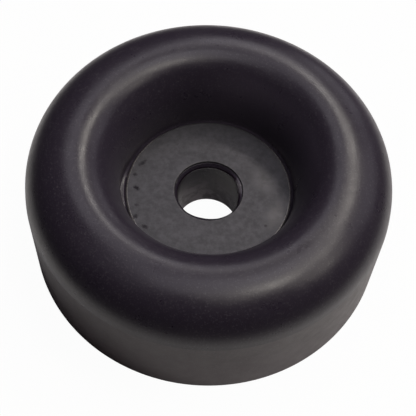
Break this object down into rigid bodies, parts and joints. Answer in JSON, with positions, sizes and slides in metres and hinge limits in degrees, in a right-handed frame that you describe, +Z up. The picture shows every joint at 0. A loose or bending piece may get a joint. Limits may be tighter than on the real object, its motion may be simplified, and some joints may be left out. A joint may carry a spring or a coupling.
{
  "type": "door stop bumper",
  "caption": "Round black rubber door stop bumper with a domed rim, a flared recess and a flat steel washer bonded round its screw hole.",
  "frame": {"origin": "centre of the flat base, on the axis of the screw hole", "axes": "+Z up along the screw hole, from the flat base towards the open recess; the part is turned about Z, so X and Y are free"},
  "size_m": [0.0636, 0.0634, 0.0254],
  "materials": {
    "rubber": "satin moulded black rubber",
    "steel": "dull grey plain steel, faintly mottled"
  },
  "bodies": {
    "root": {"rubber_body": "rubber", "steel_washer": "steel"}
  },
  "joints": []
}
